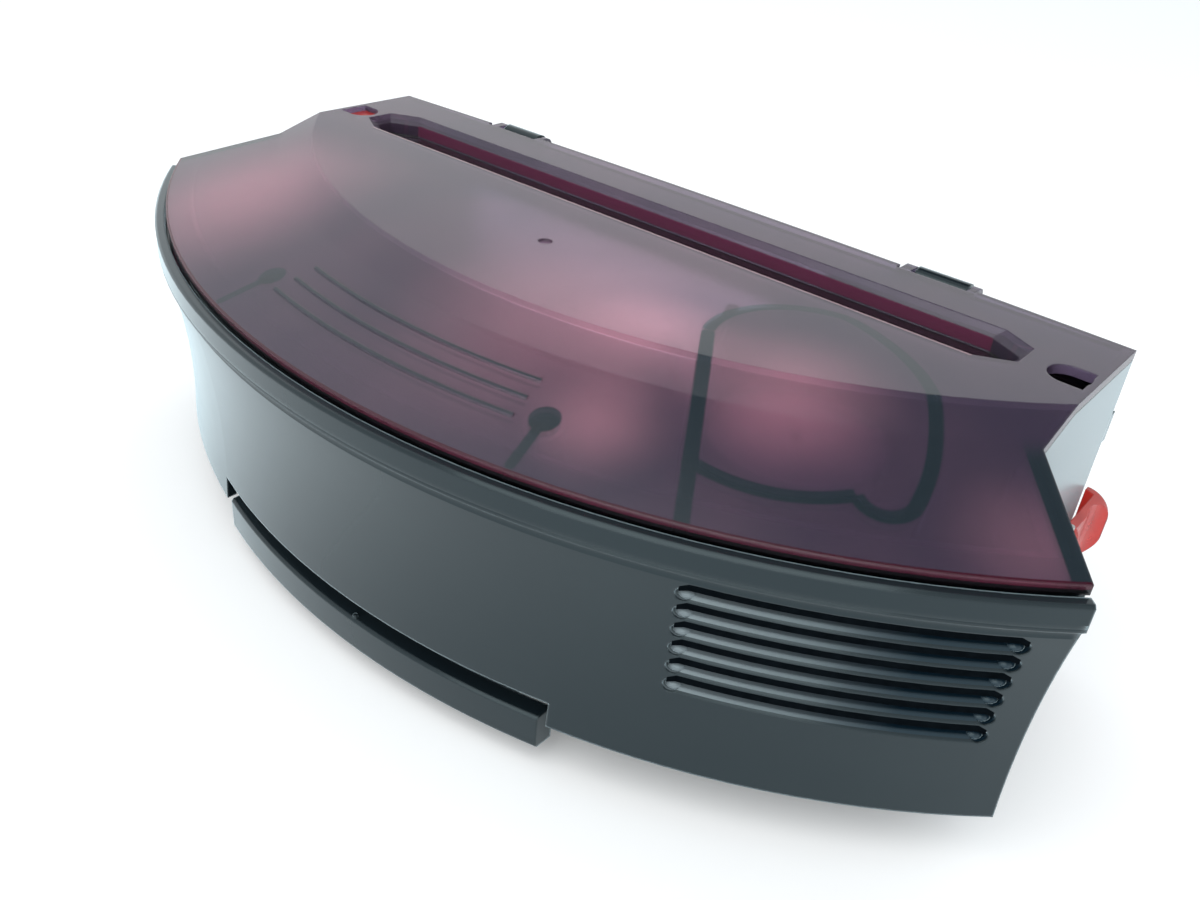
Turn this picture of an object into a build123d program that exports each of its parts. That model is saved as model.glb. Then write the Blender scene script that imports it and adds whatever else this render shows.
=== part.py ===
import os
from math import cos, radians, sin, sqrt

from build123d import *

os.makedirs("parts", exist_ok=True)

# Plan of the bin, about the upright centre axis of the round robot, in mm.
# The rear looks to -Y, angles are off the rear, positive to the right.
fascia_waist_radius = 170.2
rim_overhang = 1.8
side_half_width = 100.5
front_distance = 64.2
wing_angle = 43.1

# Lid: flat field, two sloping facets, rear edge
cover_height = 75.0
seam_height = 62.0
cover_thick = 1.9
crease_inset = 34.0
second_crease_inset = 25.5
second_crease_drop = 3.3
cover_seat = 0.05
front_bow = 2.4
skirt_depth = 6.0
skirt_thick = 1.8
skirt_fit = 0.2
channel_end = 12.0
channel_shift = -1.5
channel_set = 11.5
channel_width = 15.6
channel_depth = 4.7
channel_bevel = 1.7
channel_corner_x = 7.0
channel_corner_y = 4.0
hole_edge = 1.4
hole_length = 7.7
hole_set = 20.5
hole_width = 8.0
mark_radius = 1.5
mark_depth = 0.5
mark_x = -3.4
mark_distance = 113.2
rib_inset = 19.0
rib_pitch = 4.3
rib_count = 3
rib_half_angle = 11.4
rib_width = 0.8
rib_rise = 0.4

# Tub
tub_wall = 2.0
floor_thick = 2.2
slope_run = 33.4
rear_wall_base = 16.0
wing_shelf = 5.5
wing_shelf_height = 56.0
flange_inset = 1.0
flange_thick = 2.6

# Rear fascia
fascia_gap = 0.6
rim_gap = 0.5
fascia_rim_thick = 2.1
band_height = 5.0
band_step = 1.0
fascia_waist_height = 29.0
foot_flare = 0.4
fascia_foot_height = 12.0
fascia_thick = 2.2
rim_round = 0.5
ledge_thick = 2.0
ledge_fit = 0.1
hook_angles = (-38.0, -19.0, 19.0, 38.0)
hook_width_angle = 2.4
hook_height = 19.0
hook_thick = 1.8
hook_reach = 2.0
hook_rise = 1.2
hook_fit = 0.2

# Louvre slots
slot_count = 6
slot_pitch = 4.24
slot_height = 2.8
slot_top = 53.1
slot_start = 23.1
slot_end = 41.1
slot_backing = 1.4
sill_depth = 2.2
sill_rise = 1.4
sill_round_depth = 0.8
sill_round_rise = 0.95

# Release bar
bar_proud = 0.1
bar_thick = 4.0
bar_bottom = 5.2
bar_top = 12.8
bar_half_length = 46.6
bar_side_gap = 1.8
bar_top_gap = 4.5
bar_travel = 3.0
bar_round = 0.5
arm_x = 30.0
arm_width = 8.0
arm_rise = 0.4
arm_thick = 2.2
arm_tip_length = 2.0
arm_tip_wider = 1.2
guide_fit = 0.3
guide_thick = 2.0
guide_length = 3.6
bar_stop = 0.8
nub_x = 3.0
nub_radius = 0.5
nub_height = 0.6
nub_inset = 0.9
spring_x = 12.0
spring_length = 7.5
spring_radius = 1.9
spring_wire = 0.35
spring_turns = 5
spring_post_radius = 1.2
spring_post_length = 2.4
spring_seat = 0.05

# Door and its hinge
hinge_reach = 4.2
hinge_drop = 2.45
ear_radius = 2.1
hinge_x = 60.0
knuckle_half = 5.8
knuckle_radius = 2.4
knuckle_gap = 0.5
ear_left_thick = 2.4
ear_right_thick = 1.6
bracket_fit = 0.1
notch_gap = 0.4
hinge_pin_radius = 1.0
hinge_fit = 0.06
pin_seat = 0.02
door_gap = 0.3
door_thick = 2.5
door_side_gap = 0.7
door_bottom = 1.0
door_top_gap = 0.5
door_round = 3.0
port_x = -22.0
port_half_width = 56.0
port_drop = 11.0
port_height = 24.0
port_round = 4.0
seal_width = 4.5
seal_thick = 2.4
gasket_inset = 4.5
gasket_width = 2.5
gasket_thick = 2.0
door_rib_count = 5
door_rib_pitch = 34.0
door_rib_thick = 1.6
door_rib_depth = 2.6
door_rib_bottom = 8.5
door_rib_clear = 5.0
lug_width = 3.0
lug_drop = 10.5
lug_height = 6.5
lug_reach = 2.9

# Side latches
latch_pivot_out = 2.4
latch_set = 11.8
latch_bottom = 27.0
latch_height = 15.0
latch_hub_radius = 2.0
latch_pin_radius = 0.8
latch_fit = 0.05
latch_arm_thick = 1.6
latch_lip_out = 5.4
latch_lip_length = 9.0
latch_lip_round = 5.5
latch_lip_sag = 1.2
latch_free_gap = 0.4
latch_nose_thick = 1.5
latch_nose_gap = 0.9
latch_lug_height = 5.0
latch_spring_space = 2.2
latch_lug_gap = 0.3
latch_spring_radius = 1.55
latch_spring_wire = 0.2
latch_spring_turns = 4

# Fan, partition and filter
fan_x = 64.0
fan_inset = 51.0
scroll_radius = 26.0
scroll_wall = 2.2
duct_floor_top = 28.0
duct_floor_thick = 2.0
intake_radius = 14.0
outlet_width = 26.0
outlet_bottom = 28.6
outlet_top = 55.0
outlet_turn = -42.0
partition_forward = 14.0
partition_bend_left = 19.0
partition_bend_back = 4.0
partition_end_right = 3.6
partition_end_back = 39.5
partition_thick = 2.0
scroll_boss_turn = -26.5
scroll_boss_radius = 4.0
shoulder_thick = 2.0
chamber_foot = (-4.6, -27.1)
chamber_rear = (9.4, -24.0)
chamber_tongue = (19.5, -15.6)
chamber_turn = (24.1, -16.3)
chamber_turn_end = (27.5, -11.4)
chamber_right = (19.9, 7.6)
chamber_front = (-6.8, 25.2)
chamber_corner = (-20.6, 15.4)
chamber_left = (-21.2, 0.5)
impeller_radius = 15.5
impeller_eye = 8.0
impeller_bottom = 31.0
impeller_headroom = 11.1
impeller_disc = 2.0
blade_count = 9
blade_thick = 1.0
blade_curve = 10.0
hub_radius = 3.2
shaft_radius = 1.0
shaft_fit = 0.04
motor_radius = 11.0
motor_bottom = 10.0
motor_top = 24.0
motor_cap_thick = 2.0
bush_radius = 3.0
bush_length = 3.0
bush_proud = 0.8
mount_ring = 2.0
mount_arm_width = 4.0
mount_arm_count = 3
mount_arm_turn = 30.0
mount_arm_thick = 2.0
mount_arm_reach = 4.0
mount_lip_radius = 5.5
filter_x = 36.0
filter_wall = 2.0
filter_roof_gap = 6.4
filter_set = 2.8
filter_box_length = 45.0
filter_roof_length = 29.0
filter_bottom = 9.0
filter_head = 7.0
filter_margin = 4.0
filter_length = 35.5
filter_lip = 2.0
filter_depth = 6.0
filter_rim = 3.0
filter_gasket_thick = 0.8
pleat_count = 12
pleat_thick = 0.6
tab_length = 7.0
tab_width = 9.0
tab_thick = 1.2

# Contacts, wires and screws
contact_inset = 12.5
contact_set = 15.8
contact_pitch = 11.0
contact_length = 9.0
contact_width = 6.0
contact_thick = 0.6
contact_recess = 0.15
contact_post_radius = 1.0
strip_width = 2.4
strip_thick = 0.5
terminal_width = 2.0
terminal_half_gap = 4.0
terminal_forward = 8.0
post_angle = 13.2
post_inset = 12.0
post_radius = 3.6
post_web_thick = 1.8
post_web_bottom = 38.0
pilot_radius = 2.2
pilot_length = 8.0
pilot_fit = 0.15
screw_radius = 1.1
screw_fit = 0.2
screw_head_radius = 2.3
screw_head_height = 1.8
screw_bite = 6.0
post_plate = 3.0
small_screw_radius = 0.9
small_screw_head = 1.8
small_screw_head_height = 1.0
small_screw_length = 3.6
motor_screw_circle = 8.0

# Sizes that follow from the ones above
far = 260.0
rim_radius = fascia_waist_radius + rim_overhang
crease_radius = rim_radius - crease_inset
second_crease_radius = rim_radius - second_crease_inset
rib_radius = rim_radius - rib_inset
flange_radius = rim_radius - flange_inset
fascia_foot_radius = fascia_waist_radius + foot_flare
cover_under = cover_height - cover_thick
second_crease_height = cover_height - second_crease_drop
rim_top = seam_height + cover_thick
rear_slope = (second_crease_height - rim_top) / (rim_radius - second_crease_radius)
fascia_rim_inner = rim_radius + rim_gap
fascia_rim_outer = fascia_rim_inner + fascia_rim_thick
tub_rear_radius = fascia_waist_radius - fascia_thick - fascia_gap
floor_radius = tub_rear_radius - slope_run
bar_radius = fascia_waist_radius + bar_proud
bar_inner = bar_radius - bar_thick
guide_in = arm_width / 2 + guide_fit
guide_out = guide_in + guide_thick
guide_rear = sqrt(bar_inner ** 2 - (arm_x + guide_out) ** 2) - bar_travel - bar_stop
guide_front = guide_rear - guide_length
post_distance = rim_radius - post_inset
flange_under = seam_height - flange_thick
hinge_y = hinge_reach - front_distance
hinge_z = cover_height - hinge_drop
front_reach = front_distance - hinge_reach - knuckle_radius
origin_back = (fascia_rim_outer + front_reach) / 2
door_inner_y = door_gap - front_distance
door_outer_y = door_inner_y + door_thick
door_top = hinge_z - ear_radius - door_top_gap
door_half_width = side_half_width - door_side_gap
port_top = door_top - port_drop
port_bottom = port_top - port_height
lug_bottom = door_top - lug_drop - lug_height
channel_half_length = side_half_width - channel_end
channel_front = front_distance + channel_set
channel_rear = channel_front + channel_width
channel_floor = cover_height - channel_depth
channel_under = channel_floor - cover_thick
hole_outer_x = side_half_width - hole_edge
hole_inner_x = hole_outer_x - hole_length
hole_middle = front_distance + hole_set
latch_pivot_distance = front_distance + latch_set
contact_x = side_half_width - contact_inset
contact_distance = front_distance + contact_set
fan_y = fan_inset - rim_radius
impeller_top = cover_under - impeller_headroom
filter_box_top = channel_under - filter_roof_gap
filter_box_front = front_distance + filter_set
filter_box_rear = filter_box_front + filter_box_length
filter_roof_rear = filter_box_front + filter_roof_length
filter_front = filter_box_front + filter_margin
filter_rear = filter_front + filter_length
filter_top = filter_box_top - filter_head


def block(x0, x1, y0, y1, z0, z1):
    return Pos((x0 + x1) / 2, (y0 + y1) / 2, (z0 + z1) / 2) * Box(x1 - x0, y1 - y0, z1 - z0)


# Upright round bar between two heights
def post(x, y, radius, z0, z1):
    return Pos(x, y, (z0 + z1) / 2) * Cylinder(radius, z1 - z0)


# Round bar along X between two places
def cross_bar(x0, x1, y, z, radius):
    return Pos((x0 + x1) / 2, y, z) * Rot(0, 90, 0) * Cylinder(radius, x1 - x0)


# Prism over an outline of (x, y) points
def prism(outline, z0, z1):
    return Pos(0, 0, z0) * extrude(make_face(Polyline(*outline, close=True).edges()), z1 - z0)


# Ring about the robot's axis from an outline of (radius, height) points
def ring(outline, start, end):
    face = make_face(Polyline(*[(r, 0, z) for r, z in outline], close=True).edges())
    return Rot(0, 0, start - 90) * revolve(face, Axis.Z, end - start)


def band(r0, r1, z0, z1, start, end):
    return ring([(r0, z0), (r1, z0), (r1, z1), (r0, z1)], start, end)


def swing(solid, angle):
    return Rot(0, 0, angle) * solid


def mirrored(solid):
    return mirror(solid, Plane.YZ)


# Upright prism inside the straight sides and the radial wing ends
def plan(side_gap, wing_gap, front, z0, z1):
    c, s = cos(radians(wing_angle)), sin(radians(wing_angle))
    x = side_half_width - side_gap
    along = (x + wing_gap * c) / s
    corner = (x, -wing_gap * s - along * c)
    tip = (far * s - wing_gap * c, -far * c - wing_gap * s)
    right = [(x, -front), corner, tip, (tip[0], -far)]
    left = [(-px, py) for px, py in reversed(right)]
    return prism(right + left, z0, z1)


# Line of the lid's underside, lowered by the given amount
def underside(lower):
    return [
        (crease_radius, cover_under - lower),
        (second_crease_radius, second_crease_height - cover_thick - lower),
        (rim_radius, seam_height - lower),
    ]


def cover_bottom_at(radius):
    return second_crease_height - cover_thick - (radius - second_crease_radius) * rear_slope


# Outline of the sunken channel, shrunk by the inset
def channel_outline(inset):
    x = channel_half_length - inset
    near = -channel_rear + inset
    away = -channel_front - inset
    right = [(x - channel_corner_x, near), (x, near + channel_corner_y), (x, away - channel_corner_y),
             (x - channel_corner_x, away)]
    return [(px + channel_shift, py) for px, py in right + [(-px, py) for px, py in reversed(right)]]


over_rim = [(far, seam_height - (far - rim_radius) * rear_slope), (far, far), (0, far)]
headroom = ring([(0, cover_under - cover_seat)] + underside(cover_seat) + over_rim, 0, 360)
headroom += prism(channel_outline(channel_bevel - cover_thick - cover_seat), channel_under - cover_seat, far)

# Tub: floor, sides, rear wall, wing ends, all under the lid
slope = rear_wall_base / (tub_rear_radius - floor_radius)
slope_thick = floor_thick * sqrt(1 + slope * slope)
inner_rear = tub_rear_radius - tub_wall
inner_turn = floor_radius + (floor_thick - slope_thick) / slope
inner_base = (inner_rear - floor_radius) * slope + slope_thick
tub_outline = [
    (0, 0),
    (floor_radius, 0),
    (tub_rear_radius, rear_wall_base),
    (tub_rear_radius, flange_under),
    (flange_radius, flange_under),
    (flange_radius, far),
    (0, far),
]
tub_block = ring(tub_outline, 0, 360) & plan(0, 0, front_distance, 0, far)
hollow_outline = [
    (0, floor_thick),
    (inner_turn, floor_thick),
    (inner_rear, inner_base),
    (inner_rear, far),
    (0, far),
]
hollow_ring = ring(hollow_outline, 0, 360)
low_hollow = plan(tub_wall, tub_wall, front_distance - door_thick, 0, wing_shelf_height)
high_hollow = plan(tub_wall, wing_shelf, front_distance - door_thick, wing_shelf_height, far)
hollow = (hollow_ring & low_hollow) + (hollow_ring & high_hollow)
post_x = post_distance * sin(radians(post_angle))
post_y = -post_distance * cos(radians(post_angle))
post_top = cover_bottom_at(post_distance)
pilot_bottom = post_top - pilot_length
screw_seat = pilot_bottom - post_plate
post_web = swing(block(-post_web_thick / 2, post_web_thick / 2, -inner_rear - tub_wall / 2, -post_distance,
                       post_web_bottom, far), post_angle)
post_solid = (post(post_x, post_y, post_radius, 0, far) + post_web) & tub_block
# Guides for the arms of the release bar and seats for its springs, under the rising part of the floor
arm_bottom = bar_bottom + arm_rise
arm_top = arm_bottom + arm_thick
spring_edge = spring_x + spring_radius + spring_wire
spring_back_y = -sqrt(bar_inner * bar_inner - spring_edge * spring_edge)
seat_y = spring_back_y + spring_length
spring_z = (bar_bottom + bar_top) / 2
seat_half = spring_radius + guide_thick
tub = tub_block
for x in (arm_x, -arm_x):
    tub += block(x - guide_out, x + guide_out, -guide_rear, -guide_front, arm_bottom - guide_fit - guide_thick,
                 rear_wall_base)
for x in (spring_x, -spring_x):
    tub += block(x - seat_half, x + seat_half, seat_y, seat_y + guide_thick, spring_z - seat_half,
                 rear_wall_base)
for x in (arm_x, -arm_x):
    tub -= block(x - guide_in, x + guide_in, -guide_rear, -guide_front, arm_bottom - guide_fit,
                 arm_top + guide_fit)
tub -= hollow
tub += post_solid
tub += mirrored(post_solid)
for x in (post_x, -post_x):
    tub -= post(x, post_y, pilot_radius + pilot_fit, pilot_bottom, far)
    tub -= post(x, post_y, screw_radius + screw_fit, 0, far)
    tub -= post(x, post_y, screw_head_radius + screw_fit, 0, screw_seat)
tub -= headroom
tub -= band(inner_rear - tub_wall, far, outlet_bottom, outlet_top, slot_start, slot_end)

# Slots for the fascia's hooks
for angle in hook_angles:
    wide = hook_width_angle / 2 + hook_fit
    tub -= band(inner_rear - tub_wall, far, hook_height - hook_fit,
                hook_height + hook_thick + hook_rise + hook_fit, angle - wide, angle + wide)

# Latch lugs on the sides, contact pockets in the floor
pivot_x = side_half_width + latch_pivot_out
pivot_y = -latch_pivot_distance
latch_top = latch_bottom + latch_height
lug_z0 = latch_bottom + (latch_height - latch_lug_height - latch_spring_space) / 2
lug_z1 = lug_z0 + latch_lug_height
latch_lug = post(pivot_x, pivot_y, latch_hub_radius, lug_z0, lug_z1)
latch_lug += block(side_half_width - tub_wall / 2, pivot_x, pivot_y - latch_hub_radius,
                   pivot_y + latch_hub_radius, lug_z0, lug_z1)
latch_lug -= post(pivot_x, pivot_y, latch_pin_radius + pin_seat, 0, far)
tub += latch_lug
tub += mirrored(latch_lug)
contact_places = [(contact_x, -contact_distance), (contact_x, -contact_distance - contact_pitch)]
for x, y in contact_places:
    tub -= block(x - contact_width / 2, x + contact_width / 2, y - contact_length / 2, y + contact_length / 2,
                 -far, contact_recess + contact_thick)
    tub -= post(x, y, contact_post_radius, 0, floor_thick)

# Lid
cover_top_line = [
    (rim_radius, rim_top),
    (second_crease_radius, second_crease_height),
    (crease_radius, cover_height),
]
cover_outline = [(0, cover_under)] + underside(0) + cover_top_line + [(0, cover_height)]
top_cover = ring(cover_outline, 0, 360) & plan(0, 0, front_distance, 0, far)
bow_ends = (side_half_width, -front_distance), (-side_half_width, -front_distance)
bow = ThreePointArc(bow_ends[0], (0, front_bow - front_distance), bow_ends[1])
lip_face = make_face([bow.edge(), Line(bow_ends[1], bow_ends[0]).edge()])
top_cover += extrude(Pos(0, 0, cover_under) * lip_face, cover_height - cover_under, dir=(0, 0, 1))
skirt_half = side_half_width - tub_wall - skirt_fit
top_cover += block(-skirt_half, skirt_half, -front_distance - skirt_thick, -front_distance,
                   cover_under - skirt_depth, cover_under)


def channel_face(inset, z):
    return Pos(0, 0, z) * make_face(Polyline(*channel_outline(inset), close=True).edges())


top_cover += prism(channel_outline(channel_bevel - cover_thick), channel_under, cover_under)
top_cover -= loft([channel_face(0, cover_height), channel_face(channel_bevel, cover_height - channel_bevel)])
top_cover -= prism(channel_outline(channel_bevel), channel_floor, cover_height)
hole_round = hole_width / 2
hole = post(hole_inner_x + hole_round, -hole_middle, hole_round, cover_under - cover_thick, far)
hole += block(hole_inner_x + hole_round, hole_outer_x, -hole_middle - hole_round, -hole_middle + hole_round,
              cover_under - cover_thick, far)
top_cover -= hole
top_cover -= mirrored(hole)
top_cover -= post(mark_x, -mark_distance, mark_radius, cover_height - mark_depth, far)
for i in range(rib_count):
    r0 = rib_radius + i * rib_pitch - rib_width / 2
    r1 = r0 + rib_width
    z0 = cover_bottom_at(r0) + cover_thick
    z1 = cover_bottom_at(r1) + cover_thick
    top_cover += ring([(r0, z0 - rib_rise), (r1, z1 - rib_rise), (r1, z1 + rib_rise), (r0, z0 + rib_rise)],
                      -rib_half_angle, rib_half_angle)
for x in (post_x, -post_x):
    top_cover += post(x, post_y, pilot_radius, pilot_bottom, post_top)
    top_cover -= post(x, post_y, screw_radius, pilot_bottom, pilot_bottom + screw_bite)

# Hinge brackets let into the lid's skirt, with an ear each side of the door's knuckle, and the pins
hinge_brackets = Part()
hinge_pins = Part()
skirt_back = -front_distance - skirt_thick
skirt_bottom = cover_under - skirt_depth
ear_bottom = hinge_z - ear_radius
for middle in (hinge_x, -hinge_x):
    left_in = middle - knuckle_half - knuckle_gap
    right_in = middle + knuckle_half + knuckle_gap
    left_out = left_in - ear_left_thick
    right_out = right_in + ear_right_thick
    top_cover -= block(left_out - bracket_fit, right_out + bracket_fit, skirt_back, -front_distance,
                       skirt_bottom, cover_under)
    top_cover -= block(left_out - notch_gap, right_out + notch_gap, -front_distance, 0, cover_under, far)
    bracket = block(left_out, right_out, skirt_back, -front_distance, skirt_bottom, cover_under)
    for x0, x1 in ((left_out, left_in), (right_in, right_out)):
        bracket += block(x0, x1, skirt_back, hinge_y, ear_bottom, cover_under)
        bracket += block(x0, x1, bracket_fit - front_distance, hinge_y, ear_bottom, hinge_z + ear_radius)
        bracket += cross_bar(x0, x1, hinge_y, hinge_z, ear_radius)
    hinge_brackets += bracket - cross_bar(left_out, right_out, hinge_y, hinge_z, hinge_pin_radius + pin_seat)
    hinge_pins += cross_bar(left_out, right_out, hinge_y, hinge_z, hinge_pin_radius)

# Rear fascia: one curved skin with a rim band, a ledge under the tub's flange and hooks
crease_z = seam_height - band_height - band_step
crease_r = fascia_rim_outer - band_step


def fascia_skin(thick, start, end):
    crease = (crease_r, 0, crease_z)
    waist = (fascia_waist_radius, 0, fascia_waist_height)
    foot = (fascia_foot_radius, 0, fascia_foot_height)
    inner_crease = (crease_r - thick, 0, crease_z)
    inner_waist = (fascia_waist_radius - thick, 0, fascia_waist_height)
    inner_foot = (fascia_foot_radius - thick, 0, fascia_foot_height)
    rim = Polyline(
        crease,
        (fascia_rim_outer, 0, seam_height - band_height),
        (fascia_rim_outer, 0, seam_height - rim_round),
        (fascia_rim_outer - rim_round, 0, seam_height),
        (fascia_rim_inner, 0, seam_height),
        (fascia_rim_inner, 0, crease_z + thick),
        inner_crease,
    )
    outside = ThreePointArc(crease, waist, foot)
    inside = ThreePointArc(inner_crease, inner_waist, inner_foot)
    sole = Line(foot, inner_foot)
    face = make_face(rim.edges() + [outside, inside, sole])
    return Rot(0, 0, start - 90) * revolve(face, Axis.Z, end - start)


rear_fascia = fascia_skin(fascia_thick, -wing_angle, wing_angle)
backing_zone = band(0, far, outlet_bottom + hook_fit, outlet_top - hook_fit, slot_start, slot_end)
backing = fascia_skin(fascia_thick + slot_backing, slot_start + hook_fit, slot_end - hook_fit) & backing_zone
rear_fascia += backing
ledge_top = flange_under - ledge_fit
rear_fascia += band(tub_rear_radius + fascia_gap, fascia_rim_inner + fascia_rim_thick / 2,
                    ledge_top - ledge_thick, ledge_top, -wing_angle, wing_angle)
notch_half = bar_half_length + bar_side_gap
rear_fascia -= block(-notch_half, notch_half, -far, -floor_radius, 0, bar_top + bar_top_gap)


# Outer radius of the fascia's hollow curve at a height
def skin_radius(z):
    r1, r2, r3 = crease_r, fascia_waist_radius, fascia_foot_radius
    z1, z2, z3 = crease_z, fascia_waist_height, fascia_foot_height
    q1, q2, q3 = r1 * r1 + z1 * z1, r2 * r2 + z2 * z2, r3 * r3 + z3 * z3
    both = 2 * (r1 * (z2 - z3) + r2 * (z3 - z1) + r3 * (z1 - z2))
    middle_r = (q1 * (z2 - z3) + q2 * (z3 - z1) + q3 * (z1 - z2)) / both
    middle_z = (q1 * (r3 - r2) + q2 * (r1 - r3) + q3 * (r2 - r1)) / both
    reach = sqrt((r1 - middle_r) ** 2 + (z1 - middle_z) ** 2 - (z - middle_z) ** 2)
    return middle_r - reach if middle_r > r2 else middle_r + reach


# Louvres: open above, a rounded sill rising inwards below
slot_round = slot_height / 2
slot_end_angle = slot_round / radians(fascia_waist_radius)
slot_first = slot_start + slot_end_angle
slot_last = slot_end - slot_end_angle
slot_deep = fascia_waist_radius - 2 * fascia_thick - slot_backing
for i in range(slot_count):
    z1 = slot_top - i * slot_pitch
    z0 = z1 - slot_height
    face_r = skin_radius(z0)
    louvre = [
        (slot_deep, z1),
        (slot_deep, z0 + sill_rise),
        (face_r - sill_depth, z0 + sill_rise),
        (face_r - sill_round_depth, z0 + sill_round_rise),
        (face_r, z0),
        (fascia_rim_outer, z0),
        (fascia_rim_outer, z1),
    ]
    rear_fascia -= ring(louvre, slot_first, slot_last)
    for angle in (slot_first, slot_last):
        bore = Rot(90, 0, 0) * Cylinder(slot_round, 6 * fascia_thick)
        bore = Pos(0, -fascia_waist_radius, z0 + slot_round) * bore
        rear_fascia -= swing(bore, angle)
for angle in hook_angles:
    a0 = angle - hook_width_angle / 2
    a1 = angle + hook_width_angle / 2
    rear_fascia += band(inner_rear - hook_reach, fascia_waist_radius - fascia_thick / 2, hook_height,
                        hook_height + hook_thick, a0, a1)
    rear_fascia += band(inner_rear - hook_reach, inner_rear - hook_fit, hook_height, hook_height + hook_thick
                        + hook_rise, a0, a1)

# Release bar with two guided arms, and its springs
bar_outline = [
    (bar_inner, bar_bottom),
    (bar_radius - bar_round, bar_bottom),
    (bar_radius, bar_bottom + bar_round),
    (bar_radius, bar_top - bar_round),
    (bar_radius - bar_round, bar_top),
    (bar_inner, bar_top),
]
release_bar = ring(bar_outline, -wing_angle, wing_angle)
release_bar &= block(-bar_half_length, bar_half_length, -far, 0, 0, far)
arm_half = arm_width / 2
tip_rear = -guide_front + guide_fit
for x in (arm_x, -arm_x):
    arm_rear = -sqrt((bar_radius - bar_thick / 2) ** 2 - (arm_x + arm_half) ** 2)
    release_bar += block(x - arm_half, x + arm_half, arm_rear, tip_rear, arm_bottom, arm_top)
    release_bar += block(x - arm_half - arm_tip_wider, x + arm_half + arm_tip_wider, tip_rear,
                         tip_rear + arm_tip_length, arm_bottom, arm_top)
nub_y = -sqrt((bar_radius - nub_inset) ** 2 - nub_x ** 2)
release_bar += post(nub_x, nub_y, nub_radius, bar_top - nub_height, bar_top + nub_height)
release_springs = Part()
coil_height = spring_length - 2 * (spring_wire + spring_seat)
for x in (spring_x, -spring_x):
    stub = Rot(90, 0, 0) * Cylinder(spring_post_radius, spring_post_length + bar_thick / 2)
    release_bar += Pos(x, spring_back_y + (spring_post_length - bar_thick / 2) / 2, spring_z) * stub
    coil = Helix(coil_height / spring_turns, coil_height, spring_radius)
    wire = sweep(Plane(origin=coil @ 0, z_dir=coil % 0) * Circle(spring_wire), path=coil)
    release_springs += Pos(x, seat_y - spring_wire - spring_seat, spring_z) * Rot(90, 0, 0) * wire

# Front door with inlet port, knuckles, stiffening ribs and guide lugs
front_door = block(-door_half_width, door_half_width, door_inner_y, door_outer_y, door_bottom, door_top)
front_door = fillet(front_door.edges().filter_by(Axis.Y), door_round)


def port_ring(widen, round_by, y0, y1):
    half = port_half_width + widen
    shape = block(port_x - half, port_x + half, y0, y1, port_bottom - widen, port_top + widen)
    return fillet(shape.edges().filter_by(Axis.Y), round_by)


front_door -= port_ring(0, port_round, -far, 0)
for i in range(door_rib_count):
    x = (i - (door_rib_count - 1) / 2) * door_rib_pitch
    front_door += block(x - door_rib_thick / 2, x + door_rib_thick / 2, door_inner_y - door_rib_depth,
                        door_outer_y - door_thick / 2, door_rib_bottom, port_bottom - door_rib_clear)
for middle in (hinge_x, -hinge_x):
    x0 = middle - knuckle_half
    x1 = middle + knuckle_half
    front_door += block(x0, x1, hinge_y - knuckle_radius, hinge_y, port_top + seal_width + door_gap, hinge_z)
    front_door += cross_bar(x0, x1, hinge_y, hinge_z, knuckle_radius)
    front_door -= cross_bar(x0, x1, hinge_y, hinge_z, hinge_pin_radius + hinge_fit)
side_lug = block(door_half_width - lug_width, door_half_width, door_inner_y, door_outer_y + lug_reach,
                 lug_bottom, lug_bottom + lug_height)
front_door += side_lug
front_door += mirrored(side_lug)
inlet_seal = port_ring(seal_width, port_round, door_outer_y, door_outer_y + seal_thick)
inlet_seal -= port_ring(0, port_round, -far, 0)
gasket_half = door_half_width - gasket_inset
gasket_bottom = door_bottom + gasket_inset
gasket_top = door_top - gasket_inset
door_gasket = block(-gasket_half, gasket_half, door_inner_y - gasket_thick, door_inner_y, gasket_bottom,
                    gasket_top)
door_gasket = fillet(door_gasket.edges().filter_by(Axis.Y), door_round)
gasket_hole = block(gasket_width - gasket_half, gasket_half - gasket_width, -far, 0,
                    gasket_bottom + gasket_width, gasket_top - gasket_width)
door_gasket -= gasket_hole

# Side latches: a clip on an upright pin, with a nose for the door's edge and a curled finger lip
latch_pins = Part()
nose_in = door_half_width + latch_free_gap
nose_y0 = door_outer_y + latch_nose_gap
nose_y1 = nose_y0 + latch_nose_thick
arm_in = pivot_x - latch_arm_thick / 2
arm_out = pivot_x + latch_arm_thick / 2
lip_out = side_half_width + latch_lip_out
lip_rear = nose_y1 - latch_lip_length
lip_middle = ((arm_out + lip_out) / 2 - latch_lip_sag, (lip_rear + nose_y1) / 2 + latch_lip_sag)
clip_line = Polyline(
    (arm_out, lip_rear),
    (arm_out, pivot_y),
    (arm_in, pivot_y),
    (arm_in, nose_y0),
    (nose_in, nose_y0),
    (nose_in, nose_y1),
    (lip_out, nose_y1),
)
scoop = ThreePointArc((lip_out, nose_y1), lip_middle, (arm_out, lip_rear))
clip_face = make_face(clip_line.edges() + [scoop])
door_latch_right = Pos(0, 0, latch_bottom) * extrude(clip_face, latch_height)
door_latch_right += post(pivot_x, pivot_y, latch_hub_radius, latch_bottom, latch_top)
lip_limit = block(side_half_width - tub_wall, lip_out, -far, 0, latch_bottom, latch_top)
lip_corners = lip_limit.edges().filter_by(Axis.Y).group_by(Axis.X)[-1]
door_latch_right &= fillet(lip_corners, latch_lip_round)
fork_z0 = lug_z0 - latch_lug_gap
fork_z1 = lug_z1 + latch_spring_space
door_latch_right -= post(pivot_x, pivot_y, latch_hub_radius + 2 * latch_lug_gap, fork_z0, fork_z1)
door_latch_right -= post(pivot_x, pivot_y, latch_pin_radius + latch_fit, 0, far)
door_latch_left = mirrored(door_latch_right)
latch_pin = post(pivot_x, pivot_y, latch_pin_radius, latch_bottom, latch_top)
latch_pins += latch_pin
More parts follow.
